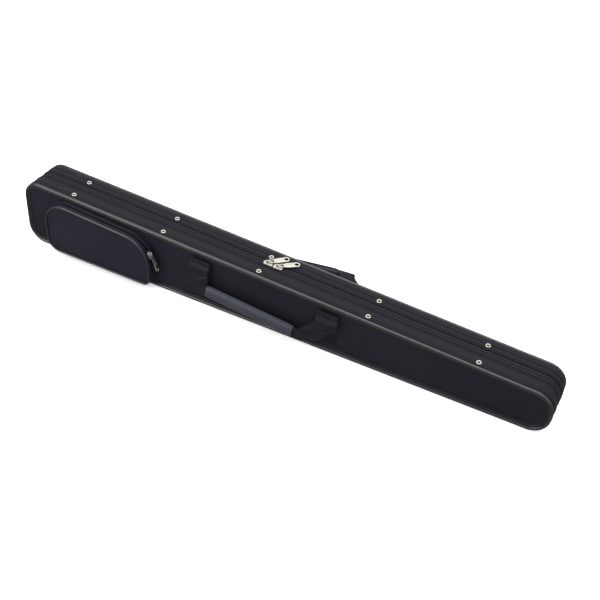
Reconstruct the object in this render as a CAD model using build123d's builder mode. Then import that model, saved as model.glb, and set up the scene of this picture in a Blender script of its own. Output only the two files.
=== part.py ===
from build123d import *

# Cue case: a tapered, zip-round clamshell with a front pocket and two carry handles.
#
# Frame: millimetres, +Z up, +X along the case towards its narrow end. The origin is on the
# surface that the case stands on, under the middle of its spine. The two shells meet on the
# plane Y = 0, with the front shell and its pocket on the -Y side.

import os
from functools import partial
from math import atan, cos, degrees, radians, sin, sqrt

# ---- driving dimensions --------------------------------------------------------------------
LENGTH = 820.0          # over the end walls
HEIGHT_BUTT = 107.0     # at the wide end, -X
HEIGHT_TIP = 66.0       # at the narrow end, +X
THICKNESS = 66.0        # over both piping beads
CORNER_R = 28.0         # rounded corners of both shells

COVER = 0.9             # nylon cover
WALL = 5.0              # bent board side wall
BOARD = 2.1             # face board
FACE_PAD = 2.6          # foam sheet between the face board and the cover
BEAD_R = 2.7            # piping bead
TRIM = 0.6              # flat trim beside the bead
TRIM_WIDTH = 3.6
RIM_Y = 6.4             # edge of each shell beside the zip
GAP = 0.1               # assembly gap between layers

COIL_EDGE_Y = 0.35      # half the gap between the two coils
COIL_WIDTH = 2.8
COIL_TOP = 0.2          # insets of the coil's top and bottom from the shell's surface
COIL_BOTTOM = 2.6
TAPE_TOP = 0.95
TAPE_BOTTOM = 1.75
TAPE_HEM = 4.0          # tape held between the cover and the wall
ZIP_END_Z = 22.0        # the zip stops this high above the spine at both ends

RIVET_X = (-325.0, -172.0, -18.0, 147.0, 303.0)
RIVET_Y_FRONT = 22.2
RIVET_Y_REAR = 14.4
RIVET_HEAD_R = 4.0
RIVET_SHANK_R = 2.1
RIVET_HEAD_H = 1.2
WASHER_R = 3.0

PATCH_X = (-104.0, 95.0)        # centres of the webbing patches
PATCH_BELOW_TOP = 13.5          # patch's top edge and the handle's fold, below the shell's top
WEB_WIDTH = 32.0
WEB = 1.8
PATCH_HEIGHT = 50.0
HANDLE_FOLD_Y = 35.2
HANDLE_FOLD_R = 1.9
GRIP_LONG = 19.0
GRIP_SHORT = 10.0
GRIP_WRAP = 1.6
HUMP_R = 8.5                    # the rear handle's right strap loops up before it drops
HUMP_RISE = 2.0

FOLD_GAP = 0.3                  # between the two halves of the spine strip
SPINE_HALF = 16.0
SPINE = 0.8

BED_Y = 0.7                     # foam faces, from the parting plane
CHANNEL_Y = 15.8                # channel floors
CHANNEL_END_X = 388.0
RAIL_GAP = 0.3

POCKET_LEFT, POCKET_RIGHT = -362.0, -181.0
POCKET_BOTTOM, POCKET_TOP = 9.0, 97.3      # the top is measured at the left edge
POCKET_SLOPE = -0.075
POCKET_DEPTH = 19.0
POCKET_FLANGE = 5.5
POCKET_SKIN = 1.2
POCKET_BEAD_R = 1.6
POCKET_R = (22.0, 12.0, 44.0, 36.0)     # bottom left, bottom right, top right, top left
POCKET_ZIP_END_Z = 30.0

SLIDER_X = (-15.2, 0.3)         # the two main sliders at rest
PULL_YAW = (46.0, 40.0)         # both pulls lie over towards the rear
PULL_LENGTH = 31.0
PULL_WIDTH = 9.6
PULL = 1.6
PULL_HOLE_R = 2.75
POCKET_PULL_LENGTH = 28.0
POCKET_PULL_WIDTH = 6.6
POCKET_PULL_EYE_R = 1.8

# ---- derived values ------------------------------------------------------------------------
SLOPE = (HEIGHT_TIP - HEIGHT_BUTT) / LENGTH
TILT = degrees(atan(-SLOPE))
SLANT = sqrt(1 + SLOPE**2)
POCKET_SLANT = sqrt(1 + POCKET_SLOPE**2)
FACE_Y = THICKNESS / 2
BEAD_Y = FACE_Y - BEAD_R
BOARD_Y = BEAD_Y - BEAD_R - GAP - BOARD
PAD_Y = BOARD_Y + BOARD
COVER_Y = PAD_Y + FACE_PAD
PANEL_Y = COVER_Y + COVER
WALL_IN = COVER + WALL
FRONT, REAR = -1, 1
ALONG = Vector(cos(radians(TILT)), 0, -sin(radians(TILT)))
NORMAL = Vector(sin(radians(TILT)), 0, cos(radians(TILT)))


def top_z(x, inset=0.0):
    """Height of the shell's sloping top at x, measured inset below its surface."""
    return HEIGHT_BUTT + SLOPE * (x + LENGTH / 2) - inset * SLANT


def upright(y, side=FRONT):
    """A sketch plane at |Y| = y that faces away from the parting plane, with Z up."""
    return Plane(origin=(0, side * y, 0), x_dir=(-side, 0, 0), z_dir=(0, side, 0))


def on_top(x, y, inset=0.0):
    """A plane on the sloping top: its X runs along the case and its Z is the outward normal."""
    return Plane(origin=(x, y, top_z(x, inset)), x_dir=tuple(ALONG), z_dir=tuple(NORMAL))


def save(part, name):
    """Labels a finished piece and writes it as parts/name.step."""
    part.label = name
    export_step(part, f"parts/{name}.step")


def outline_corners(inset, side):
    """Corners of the shell's tapered outline, moved in by inset, in an upright plane."""
    left, right = -LENGTH / 2 + inset, LENGTH / 2 - inset
    corners = [(left, inset), (right, inset), (right, top_z(right, inset)), (left, top_z(left, inset))]
    return [(-side * x, z) for x, z in corners]


def outline_sketch(inset, side, mode=Mode.ADD):
    """Adds the rounded, tapered outline to the current sketch."""
    with BuildSketch(mode=Mode.PRIVATE) as shape:
        with BuildLine():
            Polyline(*outline_corners(inset, side), close=True)
        make_face()
        fillet(shape.vertices(), CORNER_R - inset)
    add(shape.sketch, mode=mode)


def ring(outer, inner, y_from, y_to, side):
    """A closed band of the outline between two insets and two distances from the parting plane."""
    with BuildPart() as band:
        with BuildSketch(upright(y_from, side)):
            outline_sketch(outer, side)
            outline_sketch(inner, side, Mode.SUBTRACT)
        extrude(amount=y_to - y_from)
    return band.part


def plate(inset, y_from, y_to, side):
    """A flat sheet with the outline's shape."""
    with BuildPart() as sheet:
        with BuildSketch(upright(y_from, side)):
            outline_sketch(inset, side)
        extrude(amount=y_to - y_from)
    return sheet.part


def bead(inset, y, radius, side):
    """A round piping bead that runs all the way round the outline."""
    with BuildPart() as cord:
        with BuildLine(upright(y, side)) as route:
            Polyline(*outline_corners(inset, side), close=True)
            fillet(route.vertices(), CORNER_R - inset)
        start = route.wires()[0]
        with BuildSketch(Plane(origin=start @ 0, z_dir=start % 0)):
            Circle(radius)
        sweep(path=start)
    return cord.part


def rivet_planes(side):
    """The planes of one shell's rivets, on the surface of its top wall."""
    y = side * (RIVET_Y_FRONT if side == FRONT else RIVET_Y_REAR)
    return [on_top(x, y) for x in RIVET_X]


def without_rivet_holes(part, side, radius):
    """Drills the rivets' holes through a part of the top wall."""
    with BuildPart() as drilled:
        add(part)
        for plane in rivet_planes(side):
            with BuildSketch(plane.offset(1)):
                Circle(radius)
            extrude(amount=-(WALL + COVER + 4), mode=Mode.SUBTRACT)
    return drilled.part


# ---- shells --------------------------------------------------------------------------------
def frame(side):
    """Bent board wall, with a rebate at its rim for the zip tape's hem."""
    hem_y = RIM_Y + TAPE_HEM + GAP
    with BuildPart() as wall:
        add(ring(COVER, WALL_IN, hem_y, BOARD_Y, side))
        add(ring(TAPE_BOTTOM + 0.05, WALL_IN, RIM_Y, hem_y, side))
    return without_rivet_holes(wall.part, side, RIVET_SHANK_R + 0.05)


def cover_band(side):
    """The nylon round the side wall."""
    band = ring(0, COVER, RIM_Y, BEAD_Y - BEAD_R - GAP, side)
    return without_rivet_holes(band, side, RIVET_SHANK_R + 0.05)


def upper_part(part, above_z):
    """The part of a ring that lies above a height: the zip leaves the spine open."""
    with BuildPart() as kept:
        add(part)
        with BuildSketch(Plane.XY.offset(-10)):
            Rectangle(LENGTH * 1.2, THICKNESS * 2)
        extrude(amount=above_z + 10, mode=Mode.SUBTRACT)
    return kept.part


def zip_tape(side):
    """Half of the main zip's tape, its hem held between the cover and the wall."""
    tape = ring(TAPE_TOP, TAPE_BOTTOM, COIL_EDGE_Y + COIL_WIDTH, RIM_Y + TAPE_HEM, side)
    return upper_part(tape, ZIP_END_Z)


def zip_coil(side):
    """One coil of the main zip, as a plain strip of its outer size."""
    coil = ring(COIL_TOP, COIL_BOTTOM, COIL_EDGE_Y, COIL_EDGE_Y + COIL_WIDTH, side)
    return upper_part(coil, ZIP_END_Z)


def rivets(side):
    """Hollow rivets: a domed head with a dimple, and a shank through the wall."""
    with BuildPart() as group:
        for plane in rivet_planes(side):
            with BuildPart(plane, mode=Mode.PRIVATE) as rivet:
                with BuildSketch(plane):
                    Circle(RIVET_HEAD_R)
                extrude(amount=RIVET_HEAD_H)
                fillet(rivet.faces().sort_by(Axis(plane.origin, plane.z_dir))[-1].edges(), 0.9)
                with BuildSketch(plane):
                    Circle(RIVET_SHANK_R)
                extrude(amount=-(WALL_IN + 1.0))
                with BuildSketch(plane.offset(RIVET_HEAD_H)):
                    Circle(1.25)
                extrude(amount=-3.2, mode=Mode.SUBTRACT)
            add(rivet.part)
    return group.part


def rivet_washers(side):
    """Washers under the rivets' set ends, on the inside of the wall."""
    with BuildPart() as group:
        for plane in rivet_planes(side):
            with BuildSketch(plane.offset(-WALL_IN)):
                Circle(WASHER_R)
                Circle(RIVET_SHANK_R + 0.05, mode=Mode.SUBTRACT)
            extrude(amount=-0.8)
    return group.part


def spine_strip(side):
    """Half of the nylon spine, from the fold to its seam on one shell's bottom wall."""
    straight = LENGTH - 2 * CORNER_R
    edge_y = -FOLD_GAP if side == REAR else -2 * FOLD_GAP
    with BuildPart() as strip:
        with BuildSketch(Plane.XY):
            with Locations((0, (side * SPINE_HALF + edge_y) / 2)):
                Rectangle(straight, abs(side * SPINE_HALF - edge_y))
        extrude(amount=SPINE)
    return strip.part


def clear_of_spine(part, side):
    """Recesses a shell's bottom wall for the spine strip's seam."""
    with BuildPart() as eased:
        add(part)
        with BuildSketch(Plane.XY.offset(-1)):
            with Locations((0, side * SPINE_HALF / 2)):
                Rectangle(LENGTH - 2 * CORNER_R + 0.2, SPINE_HALF + 0.2)
        extrude(amount=1 + SPINE + 0.05, mode=Mode.SUBTRACT)
    return eased.part


# ---- foam beds -----------------------------------------------------------------------------
# Centre height and half width of each channel, at its wide end and at its narrow end.
CHANNELS = {
    "butt": ((30.0, 17.5), (23.0, 11.5)),
    "shaft": ((72.0, 13.0), (47.5, 8.0)),
}


FOAM_IN = WALL_IN + 1.2


def foam_base(side):
    """The flat foam sheet under the channels."""
    return plate(FOAM_IN, CHANNEL_Y, BOARD_Y - GAP, side)


def rail_outlines():
    """Outlines in X and Z of the foam rails beside the channels, and of the two end blocks."""
    x0, x1, past = -CHANNEL_END_X, CHANNEL_END_X, LENGTH / 2
    (butt0, butt_half0), (butt1, butt_half1) = CHANNELS["butt"]
    (shaft0, shaft_half0), (shaft1, shaft_half1) = CHANNELS["shaft"]
    below = [(x0, 0), (x1, 0), (x1, butt1 - butt_half1), (x0, butt0 - butt_half0)]
    between = [(x0, butt0 + butt_half0), (x1, butt1 + butt_half1),
               (x1, shaft1 - shaft_half1), (x0, shaft0 - shaft_half0)]
    above = [(x0, shaft0 + shaft_half0), (x1, shaft1 + shaft_half1),
             (x1, HEIGHT_BUTT), (x0, HEIGHT_BUTT)]
    wide = [(-past, 0), (x0 - RAIL_GAP, 0), (x0 - RAIL_GAP, HEIGHT_BUTT), (-past, HEIGHT_BUTT)]
    narrow = [(x1 + RAIL_GAP, 0), (past, 0), (past, HEIGHT_BUTT), (x1 + RAIL_GAP, HEIGHT_BUTT)]
    return below, between, above, wide, narrow


def foam_rails(side):
    """Foam pieces that stand on the base and leave a tapered channel for each half of the cue."""
    with BuildPart() as rails:
        for outline in rail_outlines():
            with BuildSketch(upright(BED_Y, side)):
                with BuildLine():
                    Polyline(*[(-side * x, z) for x, z in outline], close=True)
                make_face()
            extrude(amount=CHANNEL_Y - BED_Y)
        add(plate(FOAM_IN, BED_Y, CHANNEL_Y, side), mode=Mode.INTERSECT)
    return rails.part


# ---- handles -------------------------------------------------------------------------------
def patches(side):
    """The two webbing patches that are sewn flat on the shell's face."""
    with BuildPart() as pair:
        for x in PATCH_X:
            with BuildSketch(upright(PANEL_Y, side)):
                with Locations((-side * x, top_z(x) - PATCH_BELOW_TOP - 2.4 - PATCH_HEIGHT / 2)):
                    RectangleRounded(WEB_WIDTH, PATCH_HEIGHT, 1.0, rotation=side * TILT)
            extrude(amount=WEB)
    return pair.part


# Both ends of each grip's axis, in X and Z, and its distance from the parting plane.
GRIP_ENDS = {
    FRONT: ((-90.0, 35.0), (48.0, 21.5)),
    REAR: ((-67.0, 49.0), (71.0, 67.5)),
}
GRIP_Y = {FRONT: 41.5, REAR: 50.0}
LEFT_DROP = {FRONT: 45.0, REAR: 32.0}      # from the fold down to the grip, at the left strap


def fold_point(x, side):
    """A point on the line where the handle's webbing folds over the patches' top edges."""
    return Vector(x, side * HANDLE_FOLD_Y, top_z(x) - PATCH_BELOW_TOP)


def hang_plane(side):
    """The plane that the hanging webbing lies in: X along the case, Y up."""
    lean = atan((GRIP_Y[side] - HANDLE_FOLD_Y) / LEFT_DROP[side])
    normal = Vector(0, side * cos(lean), 0) + NORMAL * sin(lean)
    return Plane(origin=tuple(fold_point(0, side)), x_dir=tuple(ALONG), z_dir=tuple(normal))


def fold_roll(side, x):
    """A sketch plane at the fold's left end for one strap, facing along the fold."""
    start = fold_point(x - WEB_WIDTH / 2 * ALONG.X, side)
    return Plane(origin=tuple(start), x_dir=(0, 1, 0), z_dir=tuple(ALONG))


def web_strap(side, points, fold_x):
    """A webbing strap: a roll at the fold, and a flat run down to the grip's end."""
    plane = hang_plane(side)
    local = [plane.to_local_coords(Vector(x, side * HANDLE_FOLD_Y, z)) for x, z in points]
    with BuildPart() as strap:
        with BuildSketch(plane):
            with BuildLine():
                Polyline(*[(p.X, p.Y) for p in local], close=True)
            make_face()
        extrude(amount=WEB / 2, both=True)
        with BuildSketch(fold_roll(side, fold_x)):
            Circle(HANDLE_FOLD_R)
        extrude(amount=WEB_WIDTH)
    return strap.part


def humped_strap(points, fold_x):
    """The rear handle's right strap: up from the fold, over a half turn, and down to the grip."""
    outer, inner = HUMP_R + WEB / 2, HUMP_R - WEB / 2
    drop_y = HANDLE_FOLD_Y + 2 * HUMP_R
    with BuildPart() as strap:
        with BuildSketch(fold_roll(REAR, fold_x)) as profile:
            up = -profile.workplanes[0].y_dir.Z / abs(profile.workplanes[0].y_dir.Z)
            Circle(HANDLE_FOLD_R)
            with Locations((0, -up * HUMP_RISE / 2)):
                Rectangle(WEB, HUMP_RISE)
            with Locations((HUMP_R, -up * HUMP_RISE)):
                Circle(outer)
                Circle(inner, mode=Mode.SUBTRACT)
            with Locations((HUMP_R, up * (outer / 2 + 1) - up * HUMP_RISE)):
                Rectangle(2 * inner, outer + 2, mode=Mode.SUBTRACT)
        extrude(amount=WEB_WIDTH)
        with BuildSketch(upright(drop_y - WEB / 2, REAR)):
            with BuildLine():
                Polyline(*[(-x, z) for x, z in points], close=True)
            make_face()
        extrude(amount=WEB)
    return strap.part


def strap_points(side, which):
    """The flat run's outline in X and Z, for the left (0) or right (1) strap."""
    (x0, z0), (x1, z1) = GRIP_ENDS[side]
    left, right = PATCH_X
    half = WEB_WIDTH / 2
    if which == 0:
        top = [(left - half, top_z(left - half)), (left + half, top_z(left + half))]
        end = [(x0 - 1.6, z0 + 8), (x0 - 1.6, z0 - 8), (left - half + 12, z0 - 7), (left - half, z0 + 9)]
    else:
        top = [(right + half, top_z(right + half)), (right - half, top_z(right - half))]
        high, low = (8, 34) if side == FRONT else (5, -6)
        end = [(x1 + 1.8, z1 + high), (x1 + 1.8, z1 - 8), (right - 10, z1 - 7), (right + half, z1 + low)]
    rise = HUMP_RISE if (side, which) == (REAR, 1) else 0
    return [(x, z - PATCH_BELOW_TOP + rise) for x, z in top] + end


def grip_plane(side):
    """A plane at the grip's left end, facing along the grip."""
    (x0, z0), (x1, z1) = GRIP_ENDS[side]
    direction = Vector(x1 - x0, 0, z1 - z0).normalized()
    return Plane(origin=(x0, side * GRIP_Y[side], z0), x_dir=(0, 1, 0), z_dir=tuple(direction))


def grip_length(side):
    """Distance between the grip's two ends."""
    (x0, z0), (x1, z1) = GRIP_ENDS[side]
    return Vector(x1 - x0, 0, z1 - z0).length


def grip_wrap(side):
    """The stitched leatherette sleeve, an oval tube with a seam flange along its top."""
    with BuildPart() as wrap:
        with BuildSketch(grip_plane(side)):
            Ellipse(GRIP_SHORT / 2, GRIP_LONG / 2)
            with Locations((0, GRIP_LONG / 2 + 0.4)):
                Rectangle(2.0, 3.2)
            Ellipse(GRIP_SHORT / 2 - GRIP_WRAP, GRIP_LONG / 2 - GRIP_WRAP, mode=Mode.SUBTRACT)
        extrude(amount=grip_length(side))
    return wrap.part


def grip_core(side):
    """Soft filler inside the sleeve."""
    with BuildPart() as core:
        with BuildSketch(grip_plane(side)):
            Ellipse(GRIP_SHORT / 2 - GRIP_WRAP - 0.05, GRIP_LONG / 2 - GRIP_WRAP - 0.05)
        extrude(amount=grip_length(side))
    return core.part


# ---- pocket --------------------------------------------------------------------------------
def pocket_sketch(inset, mode=Mode.ADD):
    """Adds the pocket's outline, moved in by inset, to the current upright sketch."""
    left, right = POCKET_LEFT + inset, POCKET_RIGHT - inset
    low = POCKET_BOTTOM + inset

    def high(x):
        return POCKET_TOP + POCKET_SLOPE * (x - POCKET_LEFT) - inset * POCKET_SLANT

    points = [(left, low), (right, low), (right, high(right)), (left, high(left))]
    with BuildSketch(mode=Mode.PRIVATE) as shape:
        with BuildLine():
            Polyline(*points, close=True)
        make_face()
        for (x, z), radius in zip(points, POCKET_R):
            corner = shape.vertices().sort_by_distance((x, z, 0))[0]
            fillet(corner, radius - inset)
    add(shape.sketch, mode=mode)


def pocket_ring(outer, inner, y_from, y_to):
    """A band of the pocket's outline."""
    with BuildPart() as band:
        with BuildSketch(upright(y_from)):
            pocket_sketch(outer)
            pocket_sketch(inner, Mode.SUBTRACT)
        extrude(amount=y_to - y_from)
    return band.part


def pocket_plate(inset, y_from, y_to):
    """A sheet with the pocket's outline."""
    with BuildPart() as sheet:
        with BuildSketch(upright(y_from)):
            pocket_sketch(inset)
        extrude(amount=y_to - y_from)
    return sheet.part


POCKET_BACK_Y = PANEL_Y + 0.8
POCKET_FACE_Y = PANEL_Y + POCKET_DEPTH
POCKET_ZIP_Y = PANEL_Y + POCKET_DEPTH / 2
POCKET_COIL = 2.0
POCKET_COIL_GAP = 0.3
POCKET_SLOT = POCKET_COIL + POCKET_COIL_GAP


def pocket_back():
    """The pocket's back sheet, sewn to the panel inside the trim."""
    inside_trim = 2 * BEAD_R + GAP + TRIM_WIDTH + 0.05
    with BuildPart() as sheet:
        add(pocket_plate(-POCKET_FLANGE, PANEL_Y, POCKET_BACK_Y))
        add(plate(inside_trim, PANEL_Y, POCKET_BACK_Y, FRONT), mode=Mode.INTERSECT)
    return sheet.part


def pocket_bead():
    """Piping round the pocket's face."""
    with BuildPart() as cord:
        with BuildSketch(upright(POCKET_FACE_Y - POCKET_BEAD_R), mode=Mode.PRIVATE) as shape:
            pocket_sketch(POCKET_BEAD_R)
        route = shape.sketch.faces()[0].outer_wire()
        with BuildSketch(Plane(origin=route @ 0, z_dir=route % 0)):
            Circle(POCKET_BEAD_R)
        sweep(path=route)
    return cord.part


def pocket_coil(y_from, y_to):
    """One coil of the pocket's zip: over the top and down both sides."""
    return upper_part(pocket_ring(-0.3, POCKET_SKIN + 0.5, y_from, y_to), POCKET_ZIP_END_Z)


def pocket_fold():
    """The gusset's uncut bottom, which joins both halves and folds as the pocket opens."""
    y_from, y_to = POCKET_ZIP_Y - POCKET_SLOT + 0.05, POCKET_ZIP_Y - 0.1
    with BuildPart() as fold:
        add(pocket_ring(0, POCKET_SKIN, y_from, y_to))
        with BuildSketch(Plane.XY.offset(POCKET_BOTTOM + POCKET_SKIN)):
            Rectangle(LENGTH * 1.2, THICKNESS * 3)
        extrude(amount=HEIGHT_BUTT, mode=Mode.SUBTRACT)
    return fold.part


# ---- sliders and pulls ---------------------------------------------------------------------
def slider(plane, length, width, divider):
    """A cast slider astride a coil. The plane lies on the surface, with X along the zip."""
    top_from, top_to = 0.1, 1.5
    with BuildPart() as body:
        with BuildSketch(plane.offset(top_from)):
            RectangleRounded(length, width, 2.6)
        extrude(amount=top_to - top_from)
        upper = body.faces().sort_by(Axis(plane.origin, plane.z_dir))[-1]
        fillet(upper.edges(), 0.6)
        with BuildSketch(plane.offset(-COIL_BOTTOM - 0.3)):
            RectangleRounded(length - 1, width - 1, 2.2)
        extrude(amount=-1.1)
        with BuildSketch(plane.offset(-COIL_BOTTOM - 0.4)):
            with Locations((divider * (length / 2 - 3.2), 0)):
                Rectangle(3.0, 0.36)
        extrude(amount=COIL_BOTTOM + 0.4 + top_from + 0.3)
        with BuildSketch(Plane(origin=plane.origin, x_dir=plane.x_dir, z_dir=-plane.y_dir)):
            with BuildLine():
                Polyline((-3.6, top_to - 0.2), (-3.6, 4.2), (-2.6, 5.2), (2.6, 5.2), (3.6, 4.2),
                         (3.6, top_to - 0.2), (2.6, top_to - 0.2), (2.6, 3.8), (-2.6, 3.8),
                         (-2.6, top_to - 0.2), close=True)
            make_face()
        extrude(amount=1.0, both=True)
    return body.part


PIVOT_H = 2.6       # height of the pull's bar above the slider's plane
PULL_BAR_R = 0.8


def pull(plane, length, width, eye_radius):
    """A flat pull tab. The plane is at the bar's axis, with X along the tab."""
    half = width / 2
    with BuildPart() as tab:
        with BuildSketch(plane.offset(-PULL / 2)):
            with Locations((length / 2 + 1.0, 0)):
                RectangleRounded(length - 2.0, width, 0.7 * half)
            with Locations((3.0, 0)):
                Rectangle(6.0, width)
            with Locations((3.4, 0)):
                RectangleRounded(6.8, width - 2.8, 1.0, mode=Mode.SUBTRACT)
            with Locations((length - half, 0)):
                Circle(eye_radius, mode=Mode.SUBTRACT)
        extrude(amount=PULL)
        with BuildSketch(Plane(origin=plane.origin, x_dir=plane.x_dir, z_dir=plane.y_dir)):
            Circle(PULL_BAR_R)
        extrude(amount=half, both=True)
    return tab.part


def main_slider_plane(x):
    """The surface plane of the top at a main slider."""
    return on_top(x, 0)


def pull_plane(plane, yaw):
    """The plane of a pull at rest on its slider, turned by yaw in the slider's plane."""
    turn = radians(yaw)
    along = plane.x_dir * cos(turn) + plane.y_dir * sin(turn)
    return Plane(origin=plane.offset(PIVOT_H).origin, x_dir=along, z_dir=plane.z_dir)


POCKET_ARC_X = POCKET_RIGHT - POCKET_R[2]
POCKET_ARC_Z = (POCKET_TOP + POCKET_SLOPE * (POCKET_ARC_X - POCKET_LEFT)
                - POCKET_R[2] * POCKET_SLANT)
POCKET_SLIDER_ANGLE = 24.0      # degrees up the corner's arc


def pocket_slider_plane():
    """The plane on the pocket's rounded corner where its slider rests."""
    angle = radians(POCKET_SLIDER_ANGLE)
    out = Vector(cos(angle), 0, sin(angle))
    down = Vector(sin(angle), 0, -cos(angle))
    origin = Vector(POCKET_ARC_X, -POCKET_ZIP_Y, POCKET_ARC_Z) + out * POCKET_R[2]
    return Plane(origin=tuple(origin), x_dir=tuple(down), z_dir=tuple(out))


# ---- assembly ------------------------------------------------------------------------------
def build_shell(side, name):
    """Every layer of one shell."""
    save(clear_of_spine(frame(side), side), f"{name}_frame")
    save(plate(COVER + GAP, BOARD_Y, PAD_Y, side), f"{name}_face_board")
    save(plate(2 * BEAD_R + GAP, PAD_Y, COVER_Y, side), f"{name}_face_padding")
    save(plate(2 * BEAD_R + GAP, COVER_Y, PANEL_Y, side), f"{name}_cover_panel")
    save(clear_of_spine(cover_band(side), side), f"{name}_cover_band")
    save(bead(BEAD_R, BEAD_Y, BEAD_R, side), f"{name}_piping")
    trim_in = 2 * BEAD_R + GAP
    save(ring(trim_in, trim_in + TRIM_WIDTH, PANEL_Y, PANEL_Y + TRIM, side), f"{name}_trim")
    save(zip_tape(side), f"{name}_zip_tape")
    save(zip_coil(side), f"{name}_zip_coil")
    save(rivets(side), f"{name}_rivets")
    save(rivet_washers(side), f"{name}_rivet_washers")
    save(spine_strip(side), f"{name}_spine_strip")
    save(foam_base(side), f"{name}_foam_base")
    save(foam_rails(side), f"{name}_foam_rails")
    save(patches(side), f"{name}_handle_patches")


def build_handle(side, name):
    """Webbing straps, sleeve and filler of one carry handle."""
    for which, label in enumerate(("left", "right")):
        humped = (side, which) == (REAR, 1)
        make = humped_strap if humped else partial(web_strap, side)
        save(make(strap_points(side, which), PATCH_X[which]), f"{name}_handle_strap_{label}")
    save(grip_wrap(side), f"{name}_handle_grip")
    save(grip_core(side), f"{name}_handle_filler")


def build_pocket():
    """The pocket's sewn-on half and its opening half."""
    inner_edge = POCKET_ZIP_Y - POCKET_SLOT
    outer_edge = POCKET_ZIP_Y + POCKET_SLOT
    save(pocket_back(), "pocket_back")
    save(pocket_ring(0, POCKET_SKIN, POCKET_BACK_Y, inner_edge), "pocket_gusset_inner")
    save(pocket_coil(inner_edge, POCKET_ZIP_Y - POCKET_COIL_GAP), "pocket_zip_coil_inner")
    save(pocket_fold(), "pocket_fold")
    save(pocket_coil(POCKET_ZIP_Y + POCKET_COIL_GAP, outer_edge), "pocket_zip_coil_outer")
    seam_y = POCKET_FACE_Y - 2 * POCKET_BEAD_R - GAP
    save(pocket_ring(0, POCKET_SKIN, outer_edge, seam_y), "pocket_gusset_outer")
    face_in = 2 * POCKET_BEAD_R + GAP
    save(pocket_bead(), "pocket_piping")
    save(pocket_plate(face_in, seam_y, POCKET_FACE_Y - 0.8), "pocket_face")


def build_zip_pulls():
    """Sliders and pull tabs of the main zip and the pocket's zip."""
    for label, x, yaw, divider in zip(("left", "right"), SLIDER_X, PULL_YAW, (1, -1)):
        plane = main_slider_plane(x)
        save(slider(plane, 14.0, 11.0, divider), f"{label}_slider")
        tab = pull(pull_plane(plane, yaw), PULL_LENGTH, PULL_WIDTH, PULL_HOLE_R)
        save(tab, f"{label}_pull")
    plane = pocket_slider_plane()
    save(slider(plane.offset(0.5), 11.0, 9.6, 1), "pocket_slider")
    tab = pull(pull_plane(plane.offset(0.5), 0), POCKET_PULL_LENGTH, POCKET_PULL_WIDTH, POCKET_PULL_EYE_R)
    save(tab, "pocket_pull")


def main():
    os.makedirs("parts", exist_ok=True)
    build_shell(REAR, "rear")
    build_shell(FRONT, "front")
    build_handle(FRONT, "front")
    build_handle(REAR, "rear")
    build_pocket()
    build_zip_pulls()


main()
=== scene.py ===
import math

import bmesh
import bpy
import numpy as np
from mathutils import Matrix, Vector, noise


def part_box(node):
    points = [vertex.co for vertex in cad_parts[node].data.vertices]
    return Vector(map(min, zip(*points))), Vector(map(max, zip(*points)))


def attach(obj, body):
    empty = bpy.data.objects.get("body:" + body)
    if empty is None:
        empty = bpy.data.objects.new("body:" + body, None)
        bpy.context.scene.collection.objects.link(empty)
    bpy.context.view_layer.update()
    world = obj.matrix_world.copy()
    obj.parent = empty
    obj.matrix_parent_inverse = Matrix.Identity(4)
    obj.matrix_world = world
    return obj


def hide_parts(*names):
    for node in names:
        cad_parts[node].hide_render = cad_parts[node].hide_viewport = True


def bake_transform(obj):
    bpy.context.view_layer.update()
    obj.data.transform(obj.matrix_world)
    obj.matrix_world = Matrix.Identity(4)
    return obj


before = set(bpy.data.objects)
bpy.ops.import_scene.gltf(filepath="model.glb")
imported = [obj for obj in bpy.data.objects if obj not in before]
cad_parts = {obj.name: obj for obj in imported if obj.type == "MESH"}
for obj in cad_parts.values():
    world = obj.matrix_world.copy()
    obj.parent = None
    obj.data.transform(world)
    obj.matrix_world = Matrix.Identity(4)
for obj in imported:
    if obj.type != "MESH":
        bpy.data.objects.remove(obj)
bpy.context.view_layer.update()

MM = 0.001
FRONT, REAR = -1, 1

# ---- the case's driving dimensions, in millimetres, as the CAD model has them ---------------
LENGTH = (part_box("rear_cover_band")[1][0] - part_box("rear_cover_band")[0][0]) / MM
HEIGHT_BUTT, HEIGHT_TIP = 107.0, 66.0
CORNER_R = 28.0
PANEL_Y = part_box("rear_cover_panel")[1][1] / MM
BEAD_R = 2.7
BEAD_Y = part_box("rear_piping")[1][1] / MM - BEAD_R
RIM_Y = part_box("rear_cover_band")[0][1] / MM
BAND_END_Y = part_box("rear_cover_band")[1][1] / MM
SLOPE = (HEIGHT_TIP - HEIGHT_BUTT) / LENGTH
SLANT = math.hypot(1, SLOPE)
ALONG = Vector((1, 0, SLOPE)).normalized()
NORMAL = Vector((-SLOPE, 0, 1)).normalized()
ZIP_END_Z = 22.0
TRIM_IN, TRIM_WIDTH = 5.5, 3.6


def top_z(x, inset=0.0):
    """Height of the sloping top at x."""
    return HEIGHT_BUTT + SLOPE * (x + LENGTH / 2) - inset * SLANT


# ---- camera, light, floor -------------------------------------------------------------------
LENS, SENSOR = 59.6, 36.0
CAMERA_PLACE = (0.4736, -0.9679, 0.9305)
CAMERA_RIGHT = (0.8887, 0.4547, 0.0585)
CAMERA_UP = (-0.3323, 0.5511, 0.7654)
CAMERA_BACK = (0.3157, -0.6997, 0.6409)
WORLD_LIGHT, HORIZON = 1.5, 0.2
TOP_LIGHT, FRONT_LIGHT, END_LIGHT = 34.0, 17.0, 7.0
FLOOR_HALF, FLOOR_DROP = 6.0, 0.0004


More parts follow.
